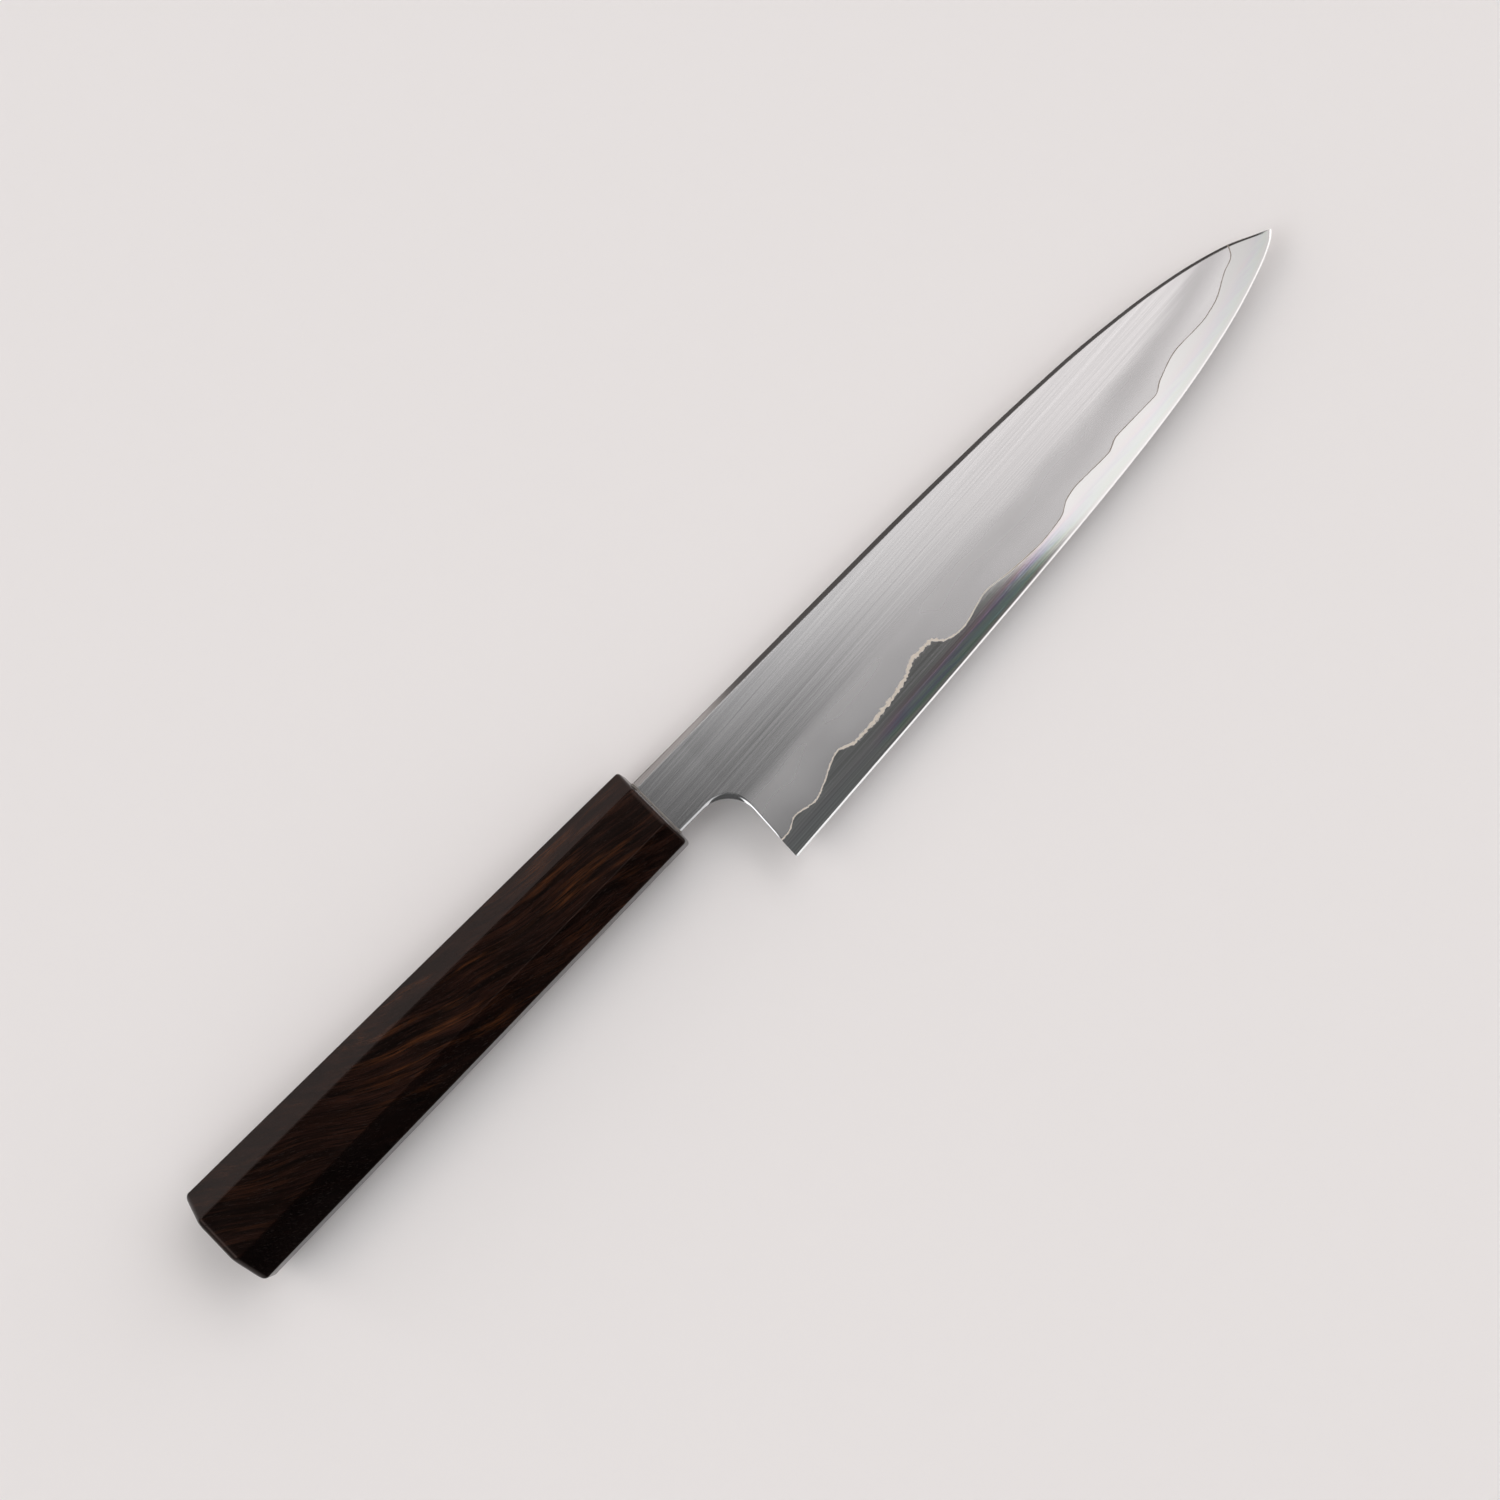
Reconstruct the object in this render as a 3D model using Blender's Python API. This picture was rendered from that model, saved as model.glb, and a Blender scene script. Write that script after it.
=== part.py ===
"""Chef knife: a three-layer laminated blade glued into a one-piece octagonal wooden handle.

Knife axes, used by every shape here: X runs from the handle's front face (0) to the tip, Y from the
handle's centre line towards the spine, and Z from the blade's mid-plane to the upper side. The knife
frame at the end tips the whole knife so that the tapered handle lies flat on its lower side.
"""

import math
from bisect import bisect_right

import bmesh
import bpy

MM = 0.001

# Handle: a tapered octagon with 45 degree corner facets.
HANDLE_LENGTH = 141 * MM
BUTT_WIDTH, BUTT_THICKNESS, BUTT_CORNER = 27 * MM, 22.2 * MM, 7.3 * MM
FRONT_WIDTH, FRONT_THICKNESS, FRONT_CORNER = 22.6 * MM, 19.8 * MM, 5.8 * MM
END_CHAMFER = 0.7 * MM

# Blade outline, from the handle's front face.
TIP = (195.9 * MM, -7.2 * MM)
SPINE_POINTS = [(0, 7.4), (78, 7.34), (111, 6.8), (139, 5.58), (157.5, 3.75), (171.3, 1.5), (185.3, -2.26)]
EDGE_POINTS = [(15.2, -31.6), (55, -28.9), (97, -25.8), (131, -22.8), (152.7, -20.1), (172, -16.4),
               (187.6, -11.8), (194, -8.9)]
NECK_BOTTOM = -8.4 * MM
CHOIL_START = 7.7 * MM
CHOIL_RADIUS = 8.3 * MM
HEEL = (15.2 * MM, -31.6 * MM)

# Blade thickness, as half thicknesses from the mid-plane at the spine.
TANG_END_HALF, NECK_HALF, HEEL_HALF, TIP_HALF = 0.9 * MM, 1.4 * MM, 1.3 * MM, 0.4 * MM
CORE_SHARE = 0.2
BEVEL_HEIGHT, BEVEL_HALF, EDGE_HALF = 0.4 * MM, 0.12 * MM, 0.05 * MM
SPINE_ROUNDING, SPINE_DROP = 1.6 * MM, 0.38     # width at the neck, and depth as a share of the half
TAPER_POWER = 1.3           # the spine thins slowly at first, and faster towards the tip
GRIND_POWER = 1.4           # above 1, the ground sides are convex
SIDE_SHARES = (0, 0.15, 0.3, 0.45, 0.6, 0.72, 0.84, 0.93)      # of the side's height, from the spine

# Lamination line on the blade's sides: its crests and hollows from heel to tip.
LAMINATION_POINTS = [(13, -26.4), (17.6, -26.3), (21.7, -24.6), (27.1, -25.5), (31.8, -24), (35, -22.4),
                     (39.2, -21), (43.6, -22.5), (52, -22), (61.5, -20.5), (67.1, -18.3), (72, -18.3),
                     (75.2, -20.8), (79.2, -21.6), (89.9, -19.4), (96.9, -20.2), (105.7, -20.6),
                     (113.9, -19.7), (117.8, -17.7), (121.9, -17), (131.8, -17.1), (136.4, -15.6),
                     (149.2, -15.4), (152.7, -13.6), (161.3, -11.2), (168.3, -11.1), (174.3, -10),
                     (181.3, -6.5), (184.6, -5.2), (187, 0), (188, 12)]

# Tang and the joint with the handle.
TANG_LENGTH = 88 * MM
TANG_ROOT_HEIGHT, TANG_END_HEIGHT = 11 * MM, 6 * MM
FLAT_TANG_X = 15 * MM       # from this far inside the handle, the tang's sides are flat
BORE_DEPTH = 96 * MM
BORE_MOUTH = (13.4 * MM, 5 * MM)
BORE_END = (9 * MM, 4.2 * MM)
SEAL_THICKNESS, SEAL_OVERHANG = 0.4 * MM, 0.25 * MM
FIT_GAP = 0.1 * MM
LAMINATION_GAP = 0.03 * MM
SHOULDER_X = 2 * FIT_GAP + SEAL_THICKNESS

MARGIN = 0.25 * MM          # how far a cutting shape runs past the outline that it meets
TIP_ROOM = 0.6 * MM         # the ground sides stay at least this far from the tip's height
CURVE_START_X = 150 * MM    # from here to the tip the outline bends faster and has closer points
REACH = 20 * MM             # half size of a cutting shape where only one of its faces cuts


# ---------------------------------------------------------------- curves of the outline

def smooth_curve(points_mm):
    """Return y(x) through the points: cubic pieces whose slopes never overshoot a crest."""
    xs = [x * MM for x, _ in points_mm]
    ys = [y * MM for _, y in points_mm]
    steps = [(ys[i + 1] - ys[i]) / (xs[i + 1] - xs[i]) for i in range(len(xs) - 1)]
    slopes = [steps[0]]
    for before, after in zip(steps, steps[1:]):
        slopes.append(0.0 if before * after <= 0 else 2 * before * after / (before + after))
    slopes.append(steps[-1])

    def value(x):
        i = min(max(bisect_right(xs, x) - 1, 0), len(xs) - 2)
        span = xs[i + 1] - xs[i]
        t = min(max((x - xs[i]) / span, 0.0), 1.0)
        rise = ys[i + 1] - ys[i]
        start, end = slopes[i] * span, slopes[i + 1] * span
        return ys[i] + t * start + t * t * (3 * rise - 2 * start - end) + t ** 3 * (start + end - 2 * rise)

    return value


spine_y = smooth_curve(SPINE_POINTS + [(TIP[0] / MM, TIP[1] / MM)])
edge_y = smooth_curve(EDGE_POINTS + [(TIP[0] / MM, TIP[1] / MM)])
lamination_y = smooth_curve(LAMINATION_POINTS)


def spread(start, end, count):
    """Evenly spaced values from start to end, both included."""
    return [start + (end - start) * i / (count - 1) for i in range(count)]


def along(curve, start, end, count):
    """Points on the curve from just after start to end."""
    return [(x, curve(x)) for x in spread(start, end, count)[1:]]


def choil_point(angle):
    return (CHOIL_START + CHOIL_RADIUS * math.cos(angle), NECK_BOTTOM + CHOIL_RADIUS * (math.sin(angle) - 1))


def blade_outline():
    """The blade's flat outline with its neck and tang, anticlockwise from the tang's end."""
    points = [(-TANG_LENGTH, -TANG_END_HEIGHT / 2), (SHOULDER_X, -TANG_ROOT_HEIGHT / 2), (SHOULDER_X, NECK_BOTTOM)]
    points += [choil_point(angle) for angle in spread(math.pi / 2, 0, 13)]
    points.append(HEEL)
    points += along(edge_y, HEEL[0], CURVE_START_X, 22) + along(edge_y, CURVE_START_X, TIP[0], 20)
    points += along(spine_y, TIP[0], CURVE_START_X, 20) + along(spine_y, CURVE_START_X, SHOULDER_X, 14)
    points += [(SHOULDER_X, TANG_ROOT_HEIGHT / 2), (-TANG_LENGTH, TANG_END_HEIGHT / 2)]
    return points


def core_zone_outline(raise_line):
    """Everything on the edge's side of the lamination line, with the line raised by raise_line."""
    start, end = LAMINATION_POINTS[0][0] * MM, LAMINATION_POINTS[-1][0] * MM
    line = [(x, lamination_y(x) + raise_line) for x in spread(end, start, 120)]
    far_x, low_y = TIP[0] + REACH, HEEL[1] - REACH
    return [(start, low_y), (far_x, low_y), (far_x, line[0][1])] + line


# ---------------------------------------------------------------- blade thickness

def spine_half(x):
    """Half thickness at the spine: it thins along the tang and again towards the tip."""
    if x < 0:
        return NECK_HALF + (TANG_END_HALF - NECK_HALF) * min(-x / TANG_LENGTH, 1)
    if x < HEEL[0]:
        return NECK_HALF + (HEEL_HALF - NECK_HALF) * x / HEEL[0]
    share = min((x - HEEL[0]) / (TIP[0] - HEEL[0]), 1)
    return HEEL_HALF + (TIP_HALF - HEEL_HALF) * share ** TAPER_POWER


def core_half(x):
    return CORE_SHARE * spine_half(x)


def grind_section(x):
    """Half a cross-section of the ground blade at x: (y, z) pairs from the spine to the edge.

    The neck keeps the heel's section, so that it carries on the blade's sides without a step.
    """
    top = max(spine_y(max(x, 0)), TIP[1] + TIP_ROOM)
    bottom = min(edge_y(max(x, HEEL[0])), TIP[1] - TIP_ROOM)
    half = spine_half(x)
    rounding = SPINE_ROUNDING * half / NECK_HALF
    drop = SPINE_DROP * half
    side_height = top - bottom - rounding - BEVEL_HEIGHT
    flatness = min(max(-x / FLAT_TANG_X, 0), 1)
    bevel_half = BEVEL_HALF + (half - BEVEL_HALF) * flatness
    section = [(top + MARGIN, half - drop * (1 + MARGIN / rounding))]
    for share in SIDE_SHARES:
        height = bevel_half + (half - bevel_half) * (1 - share ** GRIND_POWER)
        section.append((top - rounding - share * side_height, height))
    section.append((bottom + BEVEL_HEIGHT, bevel_half))
    slope = (bevel_half - EDGE_HALF) / BEVEL_HEIGHT
    section.append((bottom - MARGIN / 4, EDGE_HALF - slope * MARGIN / 4))
    return section


# ---------------------------------------------------------------- building blocks

def make_collection(name):
    collection = bpy.data.collections.new(name)
    bpy.context.scene.collection.children.link(collection)
    return collection


def make_material(name, colour, roughness, metallic):
    material = bpy.data.materials.new(name)
    material.use_nodes = True
    shader = material.node_tree.nodes["Principled BSDF"]
    shader.inputs["Base Color"].default_value = (*colour, 1)
    shader.inputs["Roughness"].default_value = roughness
    shader.inputs["Metallic"].default_value = metallic
    material.diffuse_color = (*colour, 1)
    return material


def add_object(name, mesh, collection):
    obj = bpy.data.objects.new(name, mesh)
    obj.parent = knife_frame
    collection.objects.link(obj)
    return obj


def loft(name, sections, collection):
    """A closed body through sections of equal length, each (x, [(y, z), ...]) in the same turn."""
    mesh = bpy.data.meshes.new(name)
    body = bmesh.new()
    rings = [[body.verts.new((x, y, z)) for y, z in ring] for x, ring in sections]
    for ring, following in zip(rings, rings[1:]):
        for i in range(len(ring)):
            j = (i + 1) % len(ring)
            body.faces.new((ring[i], ring[j], following[j], following[i]))
    body.faces.new(rings[0])
    body.faces.new(rings[-1])
    bmesh.ops.triangulate(body, faces=[face for face in body.faces if len(face.verts) == 4])
    bmesh.ops.recalc_face_normals(body, faces=body.faces)
    body.to_mesh(mesh)
    body.free()
    return add_object(name, mesh, collection)


def plate(name, outline, low_z, high_z, collection):
    """A flat plate with the given outline between two heights, made from a filled 2D curve."""
    curve = bpy.data.curves.new(name, "CURVE")
    curve.dimensions = "2D"
    curve.fill_mode = "BOTH"
    curve.extrude = (high_z - low_z) / 2
    spline = curve.splines.new("POLY")
    spline.points.add(len(outline) - 1)
    for point, (x, y) in zip(spline.points, outline):
        point.co = (x, y, 0, 1)
    spline.use_cyclic_u = True
    guide = bpy.data.objects.new(name + "_curve", curve)
    collection.objects.link(guide)
    evaluated = guide.evaluated_get(bpy.context.evaluated_depsgraph_get())
    mesh = bpy.data.meshes.new_from_object(evaluated)
    bpy.data.objects.remove(guide)
    bpy.data.curves.remove(curve)
    body = bmesh.new()
    body.from_mesh(mesh)
    bmesh.ops.remove_doubles(body, verts=body.verts, dist=0.001 * MM)
    bmesh.ops.translate(body, verts=body.verts, vec=(0, 0, (low_z + high_z) / 2))
    bmesh.ops.recalc_face_normals(body, faces=body.faces)
    body.to_mesh(mesh)
    body.free()
    mesh.name = name
    return add_object(name, mesh, collection)


def as_cutter(obj):
    obj.hide_render = True
    obj.display_type = "WIRE"
    return obj


def boolean(obj, operation, cutter):
    modifier = obj.modifiers.new(operation.lower() + "_" + cutter.name, "BOOLEAN")
    modifier.operation = operation
    modifier.solver = "EXACT"
    modifier.object = cutter


def rectangle(width, thickness):
    y, z = width / 2, thickness / 2
    return [(-y, -z), (y, -z), (y, z), (-y, z)]


def octagon(width, thickness, corner):
    y, z = width / 2, thickness / 2
    return [(y - corner, z), (-y + corner, z), (-y, z - corner), (-y, -z + corner),
            (-y + corner, -z), (y - corner, -z), (y, -z + corner), (y, z - corner)]


# ---------------------------------------------------------------- cutting shapes

def make_grind_envelope():
    """The blade's ground sides, running a little past the outline all round."""
    stations = [-TANG_LENGTH - MARGIN, -TANG_LENGTH / 2, -FLAT_TANG_X, 0, HEEL[0] * 0.6, HEEL[0] + MM]
    stations += spread(30 * MM, CURVE_START_X, 9) + spread(156 * MM, TIP[0] - MM, 10) + [TIP[0] + MARGIN]
    sections = []
    for x in stations:
        half = grind_section(x)
        ring = half + [(y, -z) for y, z in reversed(half)]
        sections.append((x, ring))
    return as_cutter(loft("grind_envelope", sections, cutters))


def make_core_layer(name, extra):
    """The flat middle layer between the claddings, thicker by extra on each side."""
    stations = [-TANG_LENGTH - REACH, 0, HEEL[0]] + spread(30 * MM, TIP[0] + REACH, 12)
    sections = [(x, rectangle(4 * REACH, 2 * (core_half(x) + extra))) for x in stations]
    return as_cutter(loft(name, sections, cutters))


def make_core_zone(name, raise_line):
    return as_cutter(plate(name, core_zone_outline(raise_line), -REACH / 4, REACH / 4, cutters))


def tang_section(x, gap):
    """The tang's rectangle at x, grown by gap on each side."""
    share = min(max((SHOULDER_X - x) / (SHOULDER_X + TANG_LENGTH), 0), 1)
    height = TANG_ROOT_HEIGHT + (TANG_END_HEIGHT - TANG_ROOT_HEIGHT) * share
    return rectangle(height + 2 * gap, 2 * (spine_half(x) + gap))


def make_tang_space():
    stations = [-TANG_LENGTH - FIT_GAP, -TANG_LENGTH / 2, 0, 2 * MM]
    return as_cutter(loft("tang_space", [(x, tang_section(x, FIT_GAP)) for x in stations], cutters))


def make_bore():
    """The tapered slot in the handle, open at the front face."""
    sections = [(-BORE_DEPTH, rectangle(*BORE_END)), (0, rectangle(*BORE_MOUTH)), (MM, rectangle(*BORE_MOUTH))]
    return as_cutter(loft("handle_bore", sections, cutters))


# ---------------------------------------------------------------- pieces

def make_core_steel(envelope):
    """The hard steel core: a thin layer inside, and the whole blade along the cutting edge."""
    kept = make_core_layer("core_layer", 0)
    boolean(kept, "UNION", make_core_zone("core_zone", 0))
    core = plate("core_steel", blade_outline(), -REACH / 5, REACH / 5, parts)
    boolean(core, "INTERSECT", envelope)
    boolean(core, "INTERSECT", kept)
    core.data.materials.append(make_material("core_steel", (0.42, 0.43, 0.45), 0.18, 1))


def make_cladding(name, side, envelope, layer, zone):
    """One soft steel side layer, welded to the core from the spine down to the lamination line."""
    low_z, high_z = sorted((0, side * REACH / 5))
    cladding = plate(name, blade_outline(), low_z, high_z, parts)
    boolean(cladding, "INTERSECT", envelope)
    boolean(cladding, "DIFFERENCE", layer)
    boolean(cladding, "DIFFERENCE", zone)
    cladding.data.materials.append(cladding_steel)


def make_handle_body(bore):
    """The octagonal wooden handle, thicker at the butt, with both ends lightly chamfered."""
    sections = []
    for x, chamfer in ((-HANDLE_LENGTH, END_CHAMFER), (-HANDLE_LENGTH + END_CHAMFER, 0),
                       (-END_CHAMFER, 0), (0, END_CHAMFER)):
        share = -x / HANDLE_LENGTH
        width = FRONT_WIDTH + (BUTT_WIDTH - FRONT_WIDTH) * share - 2 * chamfer
        thickness = FRONT_THICKNESS + (BUTT_THICKNESS - FRONT_THICKNESS) * share - 2 * chamfer
        corner = FRONT_CORNER + (BUTT_CORNER - FRONT_CORNER) * share - chamfer * (2 - math.sqrt(2))
        sections.append((x, octagon(width, thickness, corner)))
    handle = loft("handle_body", sections, parts)
    boolean(handle, "DIFFERENCE", bore)
    handle.data.materials.append(make_material("dark_wood", (0.035, 0.016, 0.010), 0.38, 0))


def make_tang_adhesive(tang_space):
    """The cured resin that fills the bore round the tang."""
    mouth = [side - 2 * FIT_GAP for side in BORE_MOUTH]
    end = [side - 2 * FIT_GAP for side in BORE_END]
    sections = [(-BORE_DEPTH + FIT_GAP, rectangle(*end)), (-FIT_GAP, rectangle(*mouth))]
    adhesive = loft("tang_adhesive", sections, parts)
    boolean(adhesive, "DIFFERENCE", tang_space)
    adhesive.data.materials.append(make_material("bedding_resin", (0.03, 0.018, 0.012), 0.4, 0))


def make_neck_seal(tang_space):
    """The thin resin collar that closes the handle's mouth behind the blade's shoulder."""
    top, bottom = SPINE_POINTS[0][1] * MM + SEAL_OVERHANG, NECK_BOTTOM - SEAL_OVERHANG
    half = NECK_HALF + SEAL_OVERHANG
    ring = [(bottom, -half), (top, -half), (top, half), (bottom, half)]
    seal = loft("neck_seal", [(FIT_GAP, ring), (FIT_GAP + SEAL_THICKNESS, ring)], parts)
    boolean(seal, "DIFFERENCE", tang_space)
    seal.data.materials.append(make_material("clear_resin", (0.62, 0.57, 0.48), 0.3, 0))


def place_knife_frame():
    """Tip the knife onto the handle's lower side, with the origin under the middle of its box."""
    tip_angle = math.atan2((BUTT_THICKNESS - FRONT_THICKNESS) / 2, HANDLE_LENGTH)
    cosine, sine = math.cos(tip_angle), math.sin(tip_angle)
    back = -HANDLE_LENGTH * cosine - (BUTT_THICKNESS / 2 - END_CHAMFER) * sine
    front = TIP[0] * cosine
    knife_frame.rotation_euler = (0, tip_angle, 0)
    knife_frame.location = (-(back + front) / 2, -(HEEL[1] + BUTT_WIDTH / 2) / 2, FRONT_THICKNESS / 2 * cosine)


for old in list(bpy.data.objects):
    bpy.data.objects.remove(old)

parts = make_collection("chef_knife")
cutters = make_collection("cutters")
knife_frame = bpy.data.objects.new("knife_frame", None)
parts.objects.link(knife_frame)
place_knife_frame()

cladding_steel = make_material("cladding_steel", (0.60, 0.60, 0.61), 0.32, 1)
grind = make_grind_envelope()
make_core_steel(grind)
welded_layer = make_core_layer("welded_layer", LAMINATION_GAP)
welded_zone = make_core_zone("welded_zone", 2 * LAMINATION_GAP)
make_cladding("cladding_right", 1, grind, welded_layer, welded_zone)
make_cladding("cladding_left", -1, grind, welded_layer, welded_zone)
tang_room = make_tang_space()
make_handle_body(make_bore())
make_tang_adhesive(tang_room)
make_neck_seal(tang_room)
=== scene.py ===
"""Chef knife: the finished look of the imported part, lying on its left side on a pale floor.

Shapes are made in knife axes, in millimetres: X from the handle's front face to the tip, Y from the
handle's centre line towards the spine, Z from the blade's mid-plane to its upper side. The matrix PLACE
brings them into the frame of the CAD model, in metres.
"""

import math
from bisect import bisect_right

import bmesh
import bpy
import numpy as np
from mathutils import Matrix, Vector
from mathutils.geometry import delaunay_2d_cdt


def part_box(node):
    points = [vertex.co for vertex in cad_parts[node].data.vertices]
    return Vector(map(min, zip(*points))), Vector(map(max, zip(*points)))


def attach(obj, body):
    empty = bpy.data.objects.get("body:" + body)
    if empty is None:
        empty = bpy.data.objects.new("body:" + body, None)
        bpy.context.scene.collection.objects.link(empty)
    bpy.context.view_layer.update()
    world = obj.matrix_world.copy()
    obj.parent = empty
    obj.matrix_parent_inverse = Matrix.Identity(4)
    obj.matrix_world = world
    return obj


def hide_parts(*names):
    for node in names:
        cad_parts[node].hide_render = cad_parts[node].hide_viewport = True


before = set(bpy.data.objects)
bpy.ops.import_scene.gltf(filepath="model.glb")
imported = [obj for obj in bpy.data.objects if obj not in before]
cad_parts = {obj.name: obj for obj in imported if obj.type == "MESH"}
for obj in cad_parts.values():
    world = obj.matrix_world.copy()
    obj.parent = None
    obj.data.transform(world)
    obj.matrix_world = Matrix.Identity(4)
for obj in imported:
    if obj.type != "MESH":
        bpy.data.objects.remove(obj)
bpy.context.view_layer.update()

# Handle, as in the CAD model.
HANDLE_LENGTH = 141
BUTT = (27, 22.2, 7.3)              # width, thickness, corner facet
FRONT = (22.6, 19.8, 5.8)
BORE_DEPTH = 96
BORE_MOUTH = (13.4, 5)
BORE_END = (9, 4.2)

# Blade outline, as in the CAD model.
TIP = (195.9, -7.2)
SPINE_POINTS = [(0, 7.4), (78, 7.34), (111, 6.8), (139, 5.58), (157.5, 3.75), (171.3, 1.5), (185.3, -2.26)]
EDGE_POINTS = [(15.2, -31.6), (55, -28.9), (97, -25.8), (131, -22.8), (152.7, -20.1), (172, -16.4),
               (187.6, -11.8), (194, -8.9)]
LAMINATION_POINTS = [(13, -26.4), (17.6, -26.3), (21.7, -24.6), (27.1, -25.5), (31.8, -24), (35, -22.4),
                     (39.2, -21), (43.6, -22.5), (52, -22), (61.5, -20.5), (67.1, -18.3), (72, -18.3),
                     (75.2, -20.8), (79.2, -21.6), (89.9, -19.4), (96.9, -20.2), (105.7, -20.6),
                     (113.9, -19.7), (117.8, -17.7), (121.9, -17), (131.8, -17.1), (136.4, -15.6),
                     (149.2, -15.4), (152.7, -13.6), (161.3, -11.2), (168.3, -11.1), (174.3, -10),
                     (181.3, -6.5), (184.6, -5.2), (187, 0), (188, 12)]
SATIN_LIMIT_POINTS = [(0, -15), (16, -13.9), (50, -11.6), (75, -9.6), (110, -8.2), (140, -6.6), (162, -5.0),
                      (175, -1.6), (188, 2)]         # brushed above, stoned to a haze below
GREY_BAND_POINTS = [(60, -15.2), (107, -13.4), (128, -12.4), (149, -9.4), (160, -7), (170, -4.4),
                    (188, -0.5)]           # middle of the darker band in the haze
SHOULDER_X = 0.6
NECK_BOTTOM = -8.4
CHOIL_CENTRE, CHOIL_RADIUS = (7.7, -16.7), 8.3
HEEL = (15.2, -31.6)
TANG_LENGTH, TANG_ROOT, TANG_END = 88, 11, 6

# Blade thickness, as half thicknesses.
TANG_END_HALF, NECK_HALF, HEEL_HALF, TIP_HALF = 0.9, 1.4, 1.3, 0.4
CORE_SHARE = 0.2
BEVEL_HEIGHT, BEVEL_HALF, EDGE_HALF = 0.4, 0.12, 0.05
SPINE_ROUNDING, SPINE_DROP = 1.6, 0.38  # width at the neck, and depth as a share of the half thickness
TAPER_POWER, GRIND_POWER = 1.3, 1.4
SIDE_SLOPE = 0.037                  # steepest rise of the side from the edge, which rules near the tip

# The handle is tapered and lies flat, which tips the knife by this angle.
TIP_ANGLE = math.atan2((BUTT[1] - FRONT[1]) / 2, HANDLE_LENGTH)


def placing_matrix():
    """Knife axes in millimetres to the CAD frame in metres, found from the boxes of the CAD nodes."""
    core_low, core_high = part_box("core_steel")
    origin = Vector((core_high.x - TIP[0] * math.cos(TIP_ANGLE) / 1000, core_low.y - HEEL[1] / 1000,
                     FRONT[1] / 2 * math.cos(TIP_ANGLE) / 1000))
    return Matrix.Translation(origin) @ Matrix.Rotation(TIP_ANGLE, 4, "Y") @ Matrix.Scale(0.001, 4)


PLACE = placing_matrix()


# ---------------------------------------------------------------- curves

def smooth_curve(points):
    """Return y(x) through the points: cubic pieces whose slopes never overshoot a crest."""
    xs = [x for x, _ in points]
    ys = [y for _, y in points]
    steps = [(ys[i + 1] - ys[i]) / (xs[i + 1] - xs[i]) for i in range(len(xs) - 1)]
    slopes = [steps[0]]
    for before, after in zip(steps, steps[1:]):
        slopes.append(0.0 if before * after <= 0 else 2 * before * after / (before + after))
    slopes.append(steps[-1])

    def value(x):
        i = min(max(bisect_right(xs, x) - 1, 0), len(xs) - 2)
        span = xs[i + 1] - xs[i]
        t = min(max((x - xs[i]) / span, 0.0), 1.0)
        rise = ys[i + 1] - ys[i]
        start, end = slopes[i] * span, slopes[i + 1] * span
        return ys[i] + t * start + t * t * (3 * rise - 2 * start - end) + t ** 3 * (start + end - 2 * rise)

    return value


spine_y = smooth_curve(SPINE_POINTS + [TIP])
edge_y = smooth_curve(EDGE_POINTS + [TIP])
lamination_y = smooth_curve(LAMINATION_POINTS)
satin_limit_y = smooth_curve(SATIN_LIMIT_POINTS)
grey_band_y = smooth_curve(GREY_BAND_POINTS)


def spread(start, end, count):
    return [start + (end - start) * i / (count - 1) for i in range(count)]


def clamp(value, low=0.0, high=1.0):
    return min(max(value, low), high)


def blend(low, high, share):
    return low + (high - low) * clamp(share)


def crossing(curve, low, high):
    """The x between low and high where the lamination line meets the curve."""
    for _ in range(60):
        middle = (low + high) / 2
        if lamination_y(middle) < curve(middle):
            low = middle
        else:
            high = middle
    return (low + high) / 2


# The lamination line runs out through the heel's back and, just behind the tip, through the spine.
LINE_HEEL_X = 15.5
LINE_SPINE_X = crossing(spine_y, 184.6, 187.9)


# ---------------------------------------------------------------- blade thickness

def spine_half(x):
    """Half thickness at the spine."""
    if x < 0:
        return blend(NECK_HALF, TANG_END_HALF, -x / TANG_LENGTH)
    if x < HEEL[0]:
        return blend(NECK_HALF, HEEL_HALF, x / HEEL[0])
    share = clamp((x - HEEL[0]) / (TIP[0] - HEEL[0]))
    return HEEL_HALF + (TIP_HALF - HEEL_HALF) * share ** TAPER_POWER


def side_z(x, y):
    """Height of the ground side above the mid-plane."""
    if x >= TIP[0] - 0.01:
        return BEVEL_HALF
    top = spine_y(max(x, 0))
    bottom = edge_y(max(x, HEEL[0])) + BEVEL_HEIGHT
    height = max(top - bottom, 0.05)
    half = min(spine_half(x), BEVEL_HALF + SIDE_SLOPE * height)
    share = clamp((top - y) / height)
    return BEVEL_HALF + (half - BEVEL_HALF) * (1 - share ** GRIND_POWER)


# ---------------------------------------------------------------- the blade's flat layout

# Rim profiles from the outline inward: shares of the rim's width, and of its drop below the side.
SPINE_RIM = [(0, 1), (0.15, 0.71), (0.19, 0.672), (0.7, 0.152), (0.8, 0.067), (0.9, 0.017), (1, 0)]
EASED_RIM = [(share, (1 - share) ** 2) for share in (0, 0.05, 0.15, 0.3, 0.5, 0.72, 1)]
BEVEL_RIM = [(share, 1 - share) for share in (0, 0.1, 0.25, 0.45, 0.65, 0.85, 1)]
HEEL_RIM = 0.3                      # rim width at the bottom of the heel's back
CHOIL_RIM = (0.5, 1.4)              # rim widths at the ends and in the middle of the choil's arc
RIM_SLANT = 0.27                    # depth of an eased rim as a share of its width
SUPPORT = 0.12                      # the last row lies this far inside the rim and keeps the side's normals
TIP_TAPER = 0.35                    # near the tip, a rim is at most this share of the way to the tip
SLOPE_STEP = 0.05                   # half the span over which an outline's slope is measured
CURVE_START_X = 150                 # from here to the tip the outline has closer points
CORE_SKIN = 0.05                    # an eased rim keeps this much cladding over the core

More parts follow.
